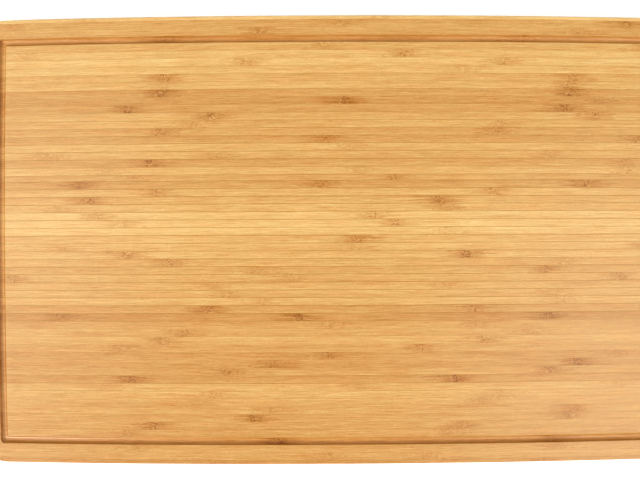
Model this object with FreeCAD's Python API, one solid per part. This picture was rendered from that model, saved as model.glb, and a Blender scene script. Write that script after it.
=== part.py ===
"""Bamboo cutting board: vertical-grain strips glued side by side, with a juice groove round the top.

Frame: X runs along the strips (the board's length), Y across them, Z up through the thickness.
The origin is at the middle of the underside.
"""

import FreeCAD, Part
import os

Rotation = FreeCAD.Rotation
Vector = FreeCAD.Vector

# Driving dimensions, millimetres.
LENGTH = 508.0
WIDTH = 304.8
THICKNESS = 19.0
CORNER_RADIUS = 17.5
EDGE_RADIUS = 1.0

# The lamination. Every strip is planed to one thickness, apart from one that was planed thinner.
# The glued panel is then trimmed to its width, which leaves a part-strip along each long edge.
STRIP_COUNT = 59
STRIP_WIDTH = 5.27
NARROW_STRIP = 22
NARROW_STRIP_WIDTH = 4.1

# The juice groove, cut with a ball-nosed cutter to half its own width.
GROOVE_WIDTH = 4.8
GROOVE_INSET = 15.9

UP = Vector(0, 0, 1)
QUARTER_TURN = 90.0


def strip_faces():
    """The Y of the faces outside and between the strips, from the +Y edge to the -Y edge."""
    inner = [STRIP_WIDTH] * (STRIP_COUNT - 2)
    inner[NARROW_STRIP - 2] = NARROW_STRIP_WIDTH
    trimmed = (WIDTH - sum(inner)) / 2
    faces = [WIDTH / 2]
    for width in [trimmed] + inner + [trimmed]:
        faces.append(faces[-1] - width)
    return faces


def is_upright(edge):
    """True for a straight edge that runs up through the thickness."""
    first, last = edge.Vertexes[0].Point, edge.Vertexes[-1].Point
    return abs(first.z - last.z) > THICKNESS / 2


def blank():
    """The pressed panel: a slab with rounded corners and eased edges round its top and bottom."""
    slab = Part.makeBox(LENGTH, WIDTH, THICKNESS, Vector(-LENGTH / 2, -WIDTH / 2, 0))
    slab = slab.makeFillet(CORNER_RADIUS, [e for e in slab.Edges if is_upright(e)])
    return slab.makeFillet(EDGE_RADIUS, [e for e in slab.Edges if not is_upright(e)])


def groove_corners():
    """The corners of the path that the cutter's centre follows, anticlockwise from +X +Y."""
    x = LENGTH / 2 - GROOVE_INSET
    y = WIDTH / 2 - GROOVE_INSET
    return [Vector(sx * x, sy * y, THICKNESS) for sx, sy in ((1, 1), (-1, 1), (-1, -1), (1, -1))]


def groove_run(start, end):
    """The round-bottomed cut between two corners of the path."""
    return Part.makeCylinder(GROOVE_WIDTH / 2, start.distanceToPoint(end), start, end - start)


def groove_turn(corner, quarter):
    """The quarter of a ball that the cutter leaves outside a corner, which is a quarter turn round."""
    radius = GROOVE_WIDTH / 2
    heading = Rotation(UP, quarter * QUARTER_TURN)
    side = corner + heading.multVec(Vector(radius, 0, 0))
    top = corner + UP * radius
    bottom = corner - UP * radius
    outline = Part.Wire([Part.Arc(top, side, bottom).toShape(), Part.LineSegment(bottom, top).toShape()])
    return Part.Face(outline).revolve(corner, UP, QUARTER_TURN)


def grooved(board):
    """The board with the juice groove cut all round: four straight runs and the turns between them."""
    corners = groove_corners()
    for i, corner in enumerate(corners):
        board = board.cut(groove_run(corner, corners[(i + 1) % len(corners)]))
        board = board.cut(groove_turn(corner, i))
    return board


def strip(board, back, front):
    """The part of the board between two glue faces, given by their Y."""
    slab = Part.makeBox(LENGTH * 2, back - front, THICKNESS * 2, Vector(-LENGTH, front, -THICKNESS / 2))
    solids = board.common(slab).Solids
    assert len(solids) == 1 and solids[0].isValid(), f"the strip from {front} to {back} isn't one solid"
    return solids[0]


def main():
    os.makedirs("parts", exist_ok=True)
    board = grooved(blank())
    faces = strip_faces()
    for number in range(1, STRIP_COUNT + 1):
        piece = strip(board, faces[number - 1], faces[number])
        piece.exportStep(f"parts/strip_{number:02d}.step")


main()
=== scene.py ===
"""A bamboo cutting board: fifty-nine strips cut from one machined shell, each with its own grain.

Lengths are in metres, in the frame of the CAD model, unless a name says otherwise. The materials work
in millimetres.
"""

import math
import random

import bmesh
import bpy
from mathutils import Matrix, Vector


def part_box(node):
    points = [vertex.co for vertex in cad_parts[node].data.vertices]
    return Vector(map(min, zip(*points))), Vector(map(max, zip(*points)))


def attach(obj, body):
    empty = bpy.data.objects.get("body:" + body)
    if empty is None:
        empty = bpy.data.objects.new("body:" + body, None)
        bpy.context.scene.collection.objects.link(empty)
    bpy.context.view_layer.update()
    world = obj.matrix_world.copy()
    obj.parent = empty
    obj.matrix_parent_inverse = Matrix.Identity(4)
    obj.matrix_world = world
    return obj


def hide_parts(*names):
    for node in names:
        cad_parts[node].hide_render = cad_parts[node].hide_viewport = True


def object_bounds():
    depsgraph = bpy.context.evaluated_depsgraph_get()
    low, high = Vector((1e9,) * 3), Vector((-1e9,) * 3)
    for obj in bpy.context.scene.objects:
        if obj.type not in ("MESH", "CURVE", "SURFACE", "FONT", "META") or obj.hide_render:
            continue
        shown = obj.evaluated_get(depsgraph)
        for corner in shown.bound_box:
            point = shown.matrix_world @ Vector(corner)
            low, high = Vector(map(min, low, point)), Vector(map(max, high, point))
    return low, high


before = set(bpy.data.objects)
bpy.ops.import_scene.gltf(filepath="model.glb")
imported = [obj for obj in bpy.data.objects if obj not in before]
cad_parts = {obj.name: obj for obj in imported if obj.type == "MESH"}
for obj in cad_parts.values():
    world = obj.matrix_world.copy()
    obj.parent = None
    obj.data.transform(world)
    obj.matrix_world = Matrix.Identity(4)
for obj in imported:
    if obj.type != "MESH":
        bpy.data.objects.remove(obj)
CAD_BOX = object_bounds()

MM = 0.001

# The board, from the frame. Its radii and its groove are the CAD model's.
LOW, HIGH = CAD_BOX
HALF_LENGTH = (HIGH.x - LOW.x) / 2
HALF_WIDTH = (HIGH.y - LOW.y) / 2
THICKNESS = HIGH.z - LOW.z
CORNER_RADIUS = 17.5 * MM
EDGE_RADIUS = 1 * MM
GROOVE_RADIUS = 2.4 * MM
GROOVE_INSET = 15.9 * MM
LIP_RADIUS = 0.35 * MM
STRIPS = sorted(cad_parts)

# How finely the shell is divided.
CORNER_STEPS = 20
EDGE_STEPS = 8
LIP_STEPS = 4
GROOVE_STEPS = 18
SUPPORT = 0.25 * MM
WELD = 0.001 * MM
SMOOTH_UNDER = math.radians(35)

# The strips from +Y to -Y. Each digit is a step of tone above the darkest bamboo.
STRIP_TONES = "9443578756" "3235543653" "6436568886" "6654555631" "3453223255" "44333333" "1"
DARKEST_TONE = 0.60
TONE_STEP = 0.022

# Which edge of each strip was the outside of the culm, where the fibres are close and dark.
STRIP_SIDES = "-+-+---+++" "+--++++--+" "+++++--+-+" "-+++-+--++" "+--++-+++-" "-++---+-+"

# How dark each strip's glue lines are. Each digit is so many steps.
STRIP_BONDS = "0120143334" "3434656887" "6699997888" "7679999997" "5200002984" "02556514" "3"
BOND_STEP = 0.1

# Where growth nodes cross each strip, in millimetres along it, and how bold each is, up to BOLDEST.
STRIP_KNOTS = {
    3: ((-61, 2),),
    4: ((-122, 2), (118, 1)),
    5: ((-18, 1),),
    6: ((-222, 1), (38, 2)),
    7: ((-70, 2), (106, 2)),
    8: ((78, 1),),
    9: ((-126, 3), (153, 2)),
    10: ((-126, 1), (149, 3)),
    11: ((-127, 3), (152, 3)),
    12: ((-2, 3), (172, 1)),
    13: ((-150, 3), (147, 3)),
    14: ((-93, 3), (168, 2)),
    15: ((-107, 1),),
    16: ((-128, 2), (100, 2)),
    17: ((-15, 2),),
    18: ((2, 1), (235, 2)),
    19: ((-206, 1), (-88, 1)),
    20: ((-135, 3), (190, 1)),
    21: ((-166, 1), (8, 1), (190, 1)),
    22: ((-145, 1), (30, 2)),
    23: ((-183, 3), (-20, 2), (161, 3)),
    24: ((-130, 2), (98, 2)),
    25: ((-177, 3), (60, 3)),
    26: ((-196, 1), (65, 2)),
    27: ((-170, 2), (16, 2)),
    28: ((-153, 1), (30, 2)),
    29: ((66, 1),),
    30: ((5, 3),),
    31: ((-195, 1), (3, 1)),
    32: ((-152, 2), (78, 3)),
    33: ((-121, 2), (147, 1)),
    34: ((-62, 1), (133, 2)),
    35: ((-230, 2), (-38, 1), (185, 2)),
    36: ((-93, 1), (65, 1)),
    37: ((-84, 1), (139, 1)),
    38: ((-60, 1), (143, 1)),
    39: ((-96, 3), (84, 2)),
    40: ((-197, 2), (-35, 3), (134, 3)),
    41: ((-16, 1), (85, 1)),
    42: ((-112, 2), (120, 1)),
    43: ((-127, 2), (91, 2)),
    45: ((-15, 2), (185, 1)),
    46: ((-53, 2), (154, 3)),
    47: ((-84, 2), (136, 2)),
    48: ((-150, 3), (70, 3)),
    49: ((-170, 1), (5, 1), (185, 1)),
    50: ((-92, 1), (101, 1)),
    52: ((-55, 1), (152, 2)),
    53: ((-65, 3), (148, 2)),
    54: ((-135, 3), (75, 2)),
    55: ((-152, 1), (69, 1)),
    56: ((-50, 3), (138, 2)),
    57: ((-145, 1), (140, 1)),
    58: ((-16, 1), (50, 1)),
}
BOLDEST = 3

# A strip's growth nodes that the list leaves out are drawn from these.
KNOTS_PER_STRIP = 3
FIRST_KNOT_MM = (-240, -60)
INTERNODE_MM = (190, 260)
HIDDEN_BOLDNESS = (1, 2)

# Each strip's grain is taken from its own place in the noise, up to this far out.
GRAIN_SPAN = 900
SEED = 7

# Screen colours of the bamboo, by how light it is.
BAMBOO_TONES = (
    (0.353, (132, 71, 12)),
    (0.47, (161, 100, 26)),
    (0.588, (187, 128, 59)),
    (0.718, (209, 160, 90)),
    (0.804, (223, 182, 112)),
    (0.863, (231, 198, 130)),
)
GLUE_SCREEN_COLOUR = (168, 114, 18)
ROSY_TINT = (1.03, 0.965, 0.93, 1.0)

# How far each feature swings the lightness that BAMBOO_TONES is read at.
DRIFT_SWING = 0.06
DENSE_SIDE_SWING = 0.035
BROAD_SWING = 0.09
FINE_SWING = 0.16

# How much each feature darkens it. Cut ends start a little paler, and darken by a share of each strip's own.
BUNDLE_ON_FACE = 0.02
BUNDLE_ON_END = 0.11
END_START = -0.14
END_SHARE = 0.4
# The groove's darkening is partly its opened fibres and partly painted shade of the recess.
GROOVE_FIBRES_AND_PAINTED_SHADE = 0.075
STAIN_SHADE = 0.12
STAIN_STREAKS = 0.3
RIDGE_DARK = 0.18
RIDGE_PALE = 0.1

# Fibres, by how long and how wide they are in millimetres. A fine layer counts by its third number.
BROAD_FIBRES = (55, 1.5)
FINE_LAYERS = ((24, 0.5, 1.5), (7, 0.45, 1.0), (2.2, 0.5, 0.7))

# More measures of the bamboo, in millimetres. A pair says where something starts and where it is full.
KNOT_STRAY = 9
STAIN_SPREAD = 70
STAIN_LEAST = 6
STAIN_HEART = 2
RIDGE = (5.0, 1.5)
SWERVE = 4.5
SWERVE_NEAR_KNOT = (24, 2)
SLOW_BEND = 2.0
GLUE_LINE = (0.35, 0.1)
GLUE_FROM_SIDE = (0.5, 1)
GROOVE_WALL = (0.1, 1.2)
GROOVE_WALL_SOFT = 0.3
BELOW_GROOVE = (8, 7)

# Pairs without a unit: of a noise, of the distance in a unit cell, or of how far a face points along X.
BUNDLE = (0.42, 0.12)
MARK_DARK = (0.5, 0.64)
MARK_PALE = (0.46, 0.34)
ROSY_PATCH = (0.35, 0.7)
CUT_END = (0.3, 0.85)

# How strongly a glue line covers the wood, at its weakest along the joint, in general and more on cut ends.
GLUE_WEAKEST = 0.4
GLUE_COVER = 0.9
GLUE_COVER_ON_END = 0.5

# Gloss, as the shader takes it, and relief: its depth in millimetres and each feature's share of it.
ROUGHNESS = 0.36
FINE_ROUGHNESS = 0.2
END_ROUGHNESS = 0.2
OILED_IOR = 1.45
RELIEF_MM = 0.12
RELIEF_STRENGTH = 0.5
FINE_RELIEF = 0.6
BUNDLE_RELIEF = 0.4
GLUE_RELIEF = 0.5

# The ground, which glows a little so that it stays white.
FLOOR_REACH = 12
FLOOR_GAP = 0.1 * MM
WHITE = (1.0, 1.0, 1.0, 1.0)
GROUND_GREYS = (0.93, 0.95)
GROUND_ROUGHNESS = 0.9
GROUND_SPECULAR = 0.1
GROUND_GLOW = 0.4

# The lamps, all aimed at the origin: name, place, size and power in watts.
LAMPS = (
    ("key", (-3.6, -2.85, 3.5), 1.4, 259),
    ("left", (-1.15, 0.05, 1.9), 1.0, 13.2),
    ("right", (1.05, -0.45, 1.9), 1.1, 18.5),
    ("front_right", (0.9, -1.3, 1.5), 0.8, 6),
    ("back", (0.2, 2.4, 1.9), 0.8, 9),
)
ROOM_LIGHT = 0.165

# The camera: how far above the board it is, over which point, its small turn, and its lens.
CAMERA_HEIGHT = 0.5099
CAMERA_OFFSET = (-0.0202, -0.0002)
CAMERA_TURN = -0.0043
SENSOR_WIDTH_MM = 36
LENS_VIEW = math.radians(100)
LENS_POLYNOMIAL = (0, -2.3478e-2, 0, 3.648e-6, -3.917e-8)


# ---------------------------------------------------------------- the board's shape

def ring(half_x, half_y, radius, height):
    """The points of a rounded rectangle, anticlockwise from its +X +Y corner."""
    points = []
    for quarter, (side_x, side_y) in enumerate(((1, 1), (-1, 1), (-1, -1), (1, -1))):
        for step in range(CORNER_STEPS + 1):
            angle = (quarter + step / CORNER_STEPS) * math.pi / 2
            x = side_x * (half_x - radius) + radius * math.cos(angle)
            y = side_y * (half_y - radius) + radius * math.sin(angle)
            points.append(Vector((x, y, height)))
    return points


def outline_ring(inset, height):
    """A ring that lies inset from the board's outline."""
    return ring(HALF_LENGTH - inset, HALF_WIDTH - inset, CORNER_RADIUS - inset, height)


def groove_ring(offset, height):
    """A ring beside the groove's path: outside it the corners are round, and inside it they are sharp."""
    half_x = HALF_LENGTH - GROOVE_INSET + offset
    half_y = HALF_WIDTH - GROOVE_INSET + offset
    return ring(half_x, half_y, max(offset, 0), height)


def arc(steps, start, end):
    """Evenly spaced angles, both ends included."""
    return [math.radians(start + (end - start) * i / steps) for i in range(steps + 1)]


def edge_rings():
    """Up the board's outside: the underside's eased edge, the side, and the top's eased edge."""
    rings = [outline_ring(EDGE_RADIUS + SUPPORT, 0)]
    for angle in arc(EDGE_STEPS, -90, 0):
        rings.append(outline_ring(EDGE_RADIUS * (1 - math.cos(angle)), EDGE_RADIUS * (1 + math.sin(angle))))
    rings.append(outline_ring(0, EDGE_RADIUS + SUPPORT))
    rings.append(outline_ring(0, THICKNESS - EDGE_RADIUS - SUPPORT))
    for angle in arc(EDGE_STEPS, 0, 90):
        inset = EDGE_RADIUS * (1 - math.cos(angle))
        rings.append(outline_ring(inset, THICKNESS - EDGE_RADIUS * (1 - math.sin(angle))))
    rings.append(outline_ring(EDGE_RADIUS + SUPPORT, THICKNESS))
    return rings


def groove_rings():
    """Across the groove from the outside in: a softened lip, the round bottom and the other lip."""
    rim = math.sqrt(GROOVE_RADIUS**2 - LIP_RADIUS**2)
    lip_centre = rim + LIP_RADIUS
    lip = [
        (lip_centre - LIP_RADIUS * math.sin(angle), THICKNESS - LIP_RADIUS * (1 - math.cos(angle)))
        for angle in arc(LIP_STEPS, 0, 90)
    ]
    slope = math.degrees(math.asin(LIP_RADIUS / GROOVE_RADIUS))
    bottom = [
        (GROOVE_RADIUS * math.cos(angle), THICKNESS - GROOVE_RADIUS * math.sin(angle))
        for angle in arc(GROOVE_STEPS, slope, 180 - slope)[1:-1]
    ]
    across = [(lip_centre + SUPPORT, THICKNESS)] + lip + bottom
    across += [(-offset, height) for offset, height in reversed(lip)] + [(-lip_centre - SUPPORT, THICKNESS)]
    return [groove_ring(offset, height) for offset, height in across]


def board_shell():
    """The whole machined board as one closed mesh."""
    mesh = bmesh.new()
    loops = [[mesh.verts.new(point) for point in points] for points in edge_rings() + groove_rings()]
    for lower, upper in zip(loops, loops[1:]):
        for i in range(len(lower)):
            j = (i + 1) % len(lower)
            mesh.faces.new((lower[i], lower[j], upper[j], upper[i]))
    mesh.faces.new(reversed(loops[0]))
    mesh.faces.new(loops[-1])
    bmesh.ops.remove_doubles(mesh, verts=mesh.verts, dist=WELD)
    return mesh


def keep_side(mesh, y, direction):
    """Cuts the mesh at y and keeps what lies the other way from direction, closed with a flat face."""
    everything = mesh.verts[:] + mesh.edges[:] + mesh.faces[:]
    cut = bmesh.ops.bisect_plane(
        mesh, geom=everything, plane_co=(0, y, 0), plane_no=(0, direction, 0), clear_outer=True
    )
    rim = [part for part in cut["geom_cut"] if isinstance(part, bmesh.types.BMEdge)]
    bmesh.ops.edgeloop_fill(mesh, edges=rim)


def strip_mesh(shell, name, front, back):
    """The strip of the board between two glue faces."""
    part = shell.copy()
    if back < HALF_WIDTH:
        keep_side(part, back, 1)
    if front > -HALF_WIDTH:
        keep_side(part, front, -1)
    bmesh.ops.recalc_face_normals(part, faces=part.faces)
    mesh = bpy.data.meshes.new(name)
    part.to_mesh(mesh)
    part.free()
    mesh.shade_smooth()
    mesh.set_sharp_from_angle(angle=SMOOTH_UNDER)
    return mesh


# ---------------------------------------------------------------- the strips

def knots_of(number, dice):
    """Three growth nodes of a strip: their places along it in millimetres, and how bold they are."""
    knots = list(STRIP_KNOTS.get(number, ((dice.uniform(*FIRST_KNOT_MM), 1),)))
    while len(knots) < KNOTS_PER_STRIP:
        knots.append((knots[-1][0] + dice.uniform(*INTERNODE_MM), dice.choice(HIDDEN_BOLDNESS)))
    places, boldness = zip(*knots)
    return [float(place) for place in places], [steps / BOLDEST for steps in boldness]


def make_strips(material):
    """Every strip of the board, each standing for its CAD node and carrying its own grain."""
    shell = board_shell()
    dice = random.Random(SEED)
    for index, node in enumerate(STRIPS):
        low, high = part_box(node)
        name = f"bamboo_{node}"
        piece = bpy.data.objects.new(name, strip_mesh(shell, name, low.y, high.y))
        bpy.context.scene.collection.objects.link(piece)
        piece.data.materials.append(material)
        tone = DARKEST_TONE + TONE_STEP * int(STRIP_TONES[index])
        dense_side = 1.0 if STRIP_SIDES[index] == "+" else -1.0
        places, boldness = knots_of(index + 1, dice)
        bond = BOND_STEP * int(STRIP_BONDS[index])
        piece["strip_look"] = (tone, dense_side, dice.uniform(0, GRAIN_SPAN))
        piece["strip_faces_mm"] = (low.y / MM, high.y / MM, bond)
        piece["strip_knots_mm"] = places
        piece["strip_knots_bold"] = boldness
        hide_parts(node)
        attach(piece, "root")
    shell.free()


# ---------------------------------------------------------------- materials

class Number:
    """A number that a material's nodes work out. Arithmetic on it adds Math nodes."""

    def __init__(self, nodes, socket):
        self.nodes = nodes
        self.socket = socket

    def __add__(self, other):
        return self.nodes.math("ADD", self, other)

    def __sub__(self, other):
        return self.nodes.math("SUBTRACT", self, other)

    def __rsub__(self, other):
        return self.nodes.math("SUBTRACT", other, self)

    def __mul__(self, other):
        return self.nodes.math("MULTIPLY", self, other)

    def __truediv__(self, other):
        return self.nodes.math("DIVIDE", self, other)

    def __abs__(self):
        return self.nodes.math("ABSOLUTE", self)


class Nodes:
    """One material's node tree, and the few kinds of node that the materials here are made of."""

    def __init__(self, name):
        self.material = bpy.data.materials.new(name)
        self.material.use_nodes = True
        self.tree = self.material.node_tree
        self.shader = self.tree.nodes["Principled BSDF"]

    def add(self, kind, **settings):
        node = self.tree.nodes.new(kind)
        for key, value in settings.items():
            setattr(node, key, value)
        return node

    def feed(self, socket, value):
        """Links a worked-out value to a socket, or sets a plain one on it."""
        if isinstance(value, Number):
            value = value.socket
        if isinstance(value, bpy.types.NodeSocket):
            self.tree.links.new(value, socket)
        else:
            socket.default_value = value

    def math(self, operation, *values):
        node = self.add("ShaderNodeMath", operation=operation)
        for socket, value in zip(node.inputs, values):
            self.feed(socket, value)
        return Number(self, node.outputs[0])

    def least(self, first, *others):
        for other in others:
            first = self.math("MINIMUM", first, other)
        return first

    def most(self, first, *others):
        for other in others:
            first = self.math("MAXIMUM", first, other)
        return first

    def split(self, vector):
        node = self.add("ShaderNodeSeparateXYZ")
        self.feed(node.inputs[0], vector)
        return [Number(self, output) for output in node.outputs]

    def join(self, x, y, z):
        node = self.add("ShaderNodeCombineXYZ")
        for socket, value in zip(node.inputs, (x, y, z)):
            self.feed(socket, value)
        return node.outputs[0]

    def piece_numbers(self, name):
        """The three numbers that a piece carries under a name."""
        node = self.add("ShaderNodeAttribute", attribute_type="OBJECT", attribute_name=name)
        return self.split(node.outputs["Vector"])

    def noise(self, x, y, z, detail=2.0, bent=0.0):
        """Smooth noise from 0 to 1. A plain number for a place only keeps it apart from the other noises."""
        node = self.add("ShaderNodeTexNoise")
        self.feed(node.inputs["Vector"], self.join(x, y, z))
        node.inputs["Scale"].default_value = 1.0
        node.inputs["Detail"].default_value = detail
        node.inputs["Distortion"].default_value = bent
        return Number(self, node.outputs["Fac"])

    def cells(self, x, y, z):
        """The distance to the nearest of a scatter of points, one to each unit cell."""
        node = self.add("ShaderNodeTexVoronoi")
        self.feed(node.inputs["Vector"], self.join(x, y, z))
        node.inputs["Scale"].default_value = 1.0
        return Number(self, node.outputs["Distance"])

    def step(self, value, start, end):
        """0 at start and before, 1 at end and beyond, and smooth between. Start may be the larger."""
        node = self.add("ShaderNodeMapRange", interpolation_type="SMOOTHSTEP")
        for socket, number in zip(node.inputs, (value, start, end, 0.0, 1.0)):
            self.feed(socket, number)
        return Number(self, node.outputs["Result"])

    def ramp(self, value, stops):
        """A colour by value, from (place, colour) pairs."""
        node = self.add("ShaderNodeValToRGB")
        self.feed(node.inputs[0], value)
        elements = node.color_ramp.elements
        while len(elements) < len(stops):
            elements.new(1.0)
        for element, (place, colour) in zip(elements, stops):
            element.position = place
            element.color = colour
        return node.outputs[0]

    def mix(self, factor, first, second, blend="MIX"):
        """One colour over another. The node has sockets for other kinds of value before its colours."""
        node = self.add("ShaderNodeMix", data_type="RGBA", blend_type=blend)
        self.feed(node.inputs[0], factor)
        self.feed(node.inputs[6], first)
        self.feed(node.inputs[7], second)
        return node.outputs[2]

    def bump(self, height, distance, strength):
        node = self.add("ShaderNodeBump")
        node.inputs["Strength"].default_value = strength
        node.inputs["Distance"].default_value = distance
        self.feed(node.inputs["Height"], height)
        self.feed(self.shader.inputs["Normal"], node.outputs[0])


def linear(red, green, blue):
    """A colour given as 0 to 255 screen values, as the linear RGBA that nodes take, by the sRGB curve."""
    def channel(value):
        value /= 255
        return value / 12.92 if value <= 0.04045 else ((value + 0.055) / 1.055) ** 2.4
    return (channel(red), channel(green), channel(blue), 1.0)


def growth_nodes(n, x, y, z, seed):
    """How far off the nearest growth node is, how deep its stain is here, and how strong its ridge is.

    The stain tapers off along the fibres. The ridge is a crooked line in its middle.
    """
    knots = n.piece_numbers("strip_knots_mm")
    boldness = n.piece_numbers("strip_knots_bold")
    stray = (n.noise(seed, y / 2.5, z / 4) - 0.5) * KNOT_STRAY
    ways = [abs(x + stray - knot) for knot in knots]
    reach = (n.noise(x / 40, y / 0.9 + seed, z / 0.9, detail=1) - 0.3) * STAIN_SPREAD + STAIN_LEAST
    stain = n.most(*(n.step(way, reach, STAIN_HEART) * bold for way, bold in zip(ways, boldness)))
    ridge = n.most(*(n.step(way, *RIDGE) * bold for way, bold in zip(ways, boldness)))
    return n.least(*ways), stain, ridge


def fibre_lanes(n, x, y, z, seed, knot_away):
    """Across the fibres, in Y and in Z. Fibres run along X, and swerve near a growth node."""
    swerve = (n.noise(x / 8, seed, y / 5) - 0.5) * n.step(knot_away, *SWERVE_NEAR_KNOT) * SWERVE
    slow_bend = (n.noise(x / 60, seed, 8.0) - 0.5) * SLOW_BEND
    return y + swerve + slow_bend, z + swerve


def grain(n, x, lane_y, lane_z, seed):
    """Broad streaks and fine fibres, both about zero, and scattered dark bundles of fibres, from 0 to 1."""
    def fibres(length, width):
        return n.noise(x / length + seed, lane_y / width, lane_z / width, detail=1) - 0.5

    fine = 0.0
    for length, width, count in FINE_LAYERS:
        fine = fibres(length, width) * count + fine
    bundle = n.step(n.cells(x / 80 + seed, lane_y / 0.8, lane_z / 0.8), *BUNDLE)
    return fibres(*BROAD_FIBRES), fine, bundle


def glue_line(n, x, y, front, back, bond):
    """A thin line at each joint, and none on the board's two long sides."""
    joint = n.least(abs(y - front), abs(back - y))
    glued = n.step(abs(y), *(HALF_WIDTH / MM - inside for inside in GLUE_FROM_SIDE))
    return n.step(joint, *GLUE_LINE) * (n.noise(x / 45, y / 3, 40.0) + GLUE_WEAKEST) * bond * glued


def groove_fibres_and_shade(n, x, y, z):
    """1 in the juice groove, where the cutter has opened the fibres and where painted shade darkens the
    recess, and 0 elsewhere and on the underside.
    """
    path = n.most(abs(x) - (HALF_LENGTH - GROOVE_INSET) / MM, abs(y) - (HALF_WIDTH - GROOVE_INSET) / MM)
    depth = THICKNESS / MM - z
    inside = n.step(abs(path), GROOVE_RADIUS / MM, GROOVE_RADIUS / MM - GROOVE_WALL_SOFT)
    return inside * n.step(depth, *GROOVE_WALL) * n.step(depth, *BELOW_GROOVE)


def bamboo():
    """Carbonised bamboo on edge. Four triples of numbers on each piece set its strip.

    x, y and z are in millimetres. One of them divided by a length, in a noise, gives features of that length.
    """
    n = Nodes("bamboo")
    place = n.add("ShaderNodeTexCoord")
    x, y, z = (axis * (1 / MM) for axis in n.split(place.outputs["Object"]))
    tone, dense, seed = n.piece_numbers("strip_look")
    front, back, bond = n.piece_numbers("strip_faces_mm")
    knot_away, stain, ridge = growth_nodes(n, x, y, z, seed)
    lane_y, lane_z = fibre_lanes(n, x, y, z, seed, knot_away)
    broad, fine, bundle = grain(n, x, lane_y, lane_z, seed)
    glue = glue_line(n, x, y, front, back, bond)

    # Cut ends of fibres, at the board's ends and in the groove, drink more oil. The groove is darkened
    # further by painted shade of its recess.
    end = n.step(abs(n.split(place.outputs["Normal"])[0]), *CUT_END)
    groove = groove_fibres_and_shade(n, x, y, z)

    # The fibres are closer, and so darker, on the side of the strip that was outside in the culm.
    across = (y - (front + back) * 0.5) / (back - front) * dense
    drift = n.noise(x / 120, seed, 20.0, detail=1) - 0.5
    marks = n.noise(x / 1.5, lane_y / 1.2, z / 1.2, detail=1, bent=1.2)

    light = tone + drift * DRIFT_SWING - across * DENSE_SIDE_SWING
    light = light + broad * BROAD_SWING + fine * FINE_SWING
    light = light - bundle * (end * BUNDLE_ON_END + BUNDLE_ON_FACE)
    light = light - end * (n.noise(seed, 40.0, 2.0) * END_SHARE + END_START)
    # Painted shade darkens the groove's recess, on top of its darker cut fibres; the growth nodes' stains are
    # real.
    light = light - groove * GROOVE_FIBRES_AND_PAINTED_SHADE - stain * (broad * STAIN_STREAKS + STAIN_SHADE)
    light = light - ridge * (n.step(marks, *MARK_DARK) * RIDGE_DARK - n.step(marks, *MARK_PALE) * RIDGE_PALE)

    colour = n.ramp(light, [(lightness, linear(*screen)) for lightness, screen in BAMBOO_TONES])
    rosy = n.step(n.noise(x / 22, y / 4, seed), *ROSY_PATCH)
    colour = n.mix(rosy, colour, n.mix(1.0, colour, ROSY_TINT, "MULTIPLY"))
    colour = n.mix(glue * (end * GLUE_COVER_ON_END + GLUE_COVER), colour, linear(*GLUE_SCREEN_COLOUR))
    n.feed(n.shader.inputs["Base Color"], colour)

    n.feed(n.shader.inputs["Roughness"], fine * FINE_ROUGHNESS + end * END_ROUGHNESS + ROUGHNESS)
    n.shader.inputs["IOR"].default_value = OILED_IOR
    height = fine * FINE_RELIEF - bundle * BUNDLE_RELIEF - glue * GLUE_RELIEF - ridge * marks
    n.bump(height, RELIEF_MM * MM, RELIEF_STRENGTH)
    return n.material


def paper():
    """The plain white ground."""
    n = Nodes("white_ground")
    x, y, _ = n.split(n.add("ShaderNodeTexCoord").outputs["Object"])
    cloud = n.noise(x * 3, y * 3, 0.0)
    darker, paler = ((grey, grey, grey, 1.0) for grey in GROUND_GREYS)
    n.feed(n.shader.inputs["Base Color"], n.mix(cloud, darker, paler))
    n.shader.inputs["Roughness"].default_value = GROUND_ROUGHNESS
    n.shader.inputs["Specular IOR Level"].default_value = GROUND_SPECULAR
    n.shader.inputs["Emission Color"].default_value = WHITE
    n.shader.inputs["Emission Strength"].default_value = GROUND_GLOW
    return n.material


# ---------------------------------------------------------------- stage, light and camera

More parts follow.
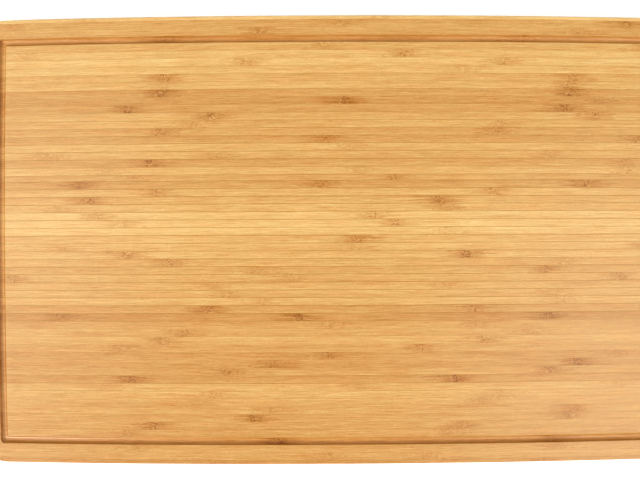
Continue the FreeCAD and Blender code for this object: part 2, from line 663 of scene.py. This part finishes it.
def make_floor():
    """A wide plain floor just under the board."""
    mesh = bpy.data.meshes.new("floor")
    corners = [(x * FLOOR_REACH, y * FLOOR_REACH, 0) for x, y in ((-1, -1), (1, -1), (1, 1), (-1, 1))]
    mesh.from_pydata(corners, [], [range(len(corners))])
    floor = bpy.data.objects.new("floor", mesh)
    floor.location.z = LOW.z - FLOOR_GAP
    mesh.materials.append(paper())
    bpy.context.scene.collection.objects.link(floor)


def make_lamp(name, place, size, power):
    """A soft square lamp that shines from place towards the origin."""
    lamp = bpy.data.lights.new(name, "AREA")
    lamp.shape = "SQUARE"
    lamp.size = size
    lamp.energy = power
    holder = bpy.data.objects.new(name, lamp)
    holder.location = place
    holder.rotation_euler = (-Vector(place)).to_track_quat("-Z", "Y").to_euler()
    bpy.context.scene.collection.objects.link(holder)


def make_light():
    """A bright even room, with a broad key from the front left."""
    world = bpy.data.worlds.new("room")
    world.use_nodes = True
    background = world.node_tree.nodes["Background"]
    background.inputs["Color"].default_value = WHITE
    background.inputs["Strength"].default_value = ROOM_LIGHT
    bpy.context.scene.world = world
    for lamp in LAMPS:
        make_lamp(*lamp)
    bpy.context.scene.view_settings.view_transform = "Standard"


def make_camera():
    """Straight above the board, left of its middle. Both ends are out of frame, the right one by more.

    The lens bows straight edges outwards a little, as a small zoom lens does. Its polynomial gives the angle
    from the camera's axis by the distance from the middle of the sensor, in millimetres.
    """
    camera = bpy.data.cameras.new("camera")
    camera.sensor_width = SENSOR_WIDTH_MM
    camera.type = "PANO"
    camera.panorama_type = "FISHEYE_LENS_POLYNOMIAL"
    camera.fisheye_fov = LENS_VIEW
    for power, factor in enumerate(LENS_POLYNOMIAL):
        setattr(camera, f"fisheye_polynomial_k{power}", factor)
    holder = bpy.data.objects.new("camera", camera)
    holder.location = (*CAMERA_OFFSET, HIGH.z + CAMERA_HEIGHT)
    holder.rotation_euler = (0, 0, CAMERA_TURN)
    bpy.context.scene.collection.objects.link(holder)
    bpy.context.scene.camera = holder


make_camera()
make_light()
make_floor()
make_strips(bamboo())
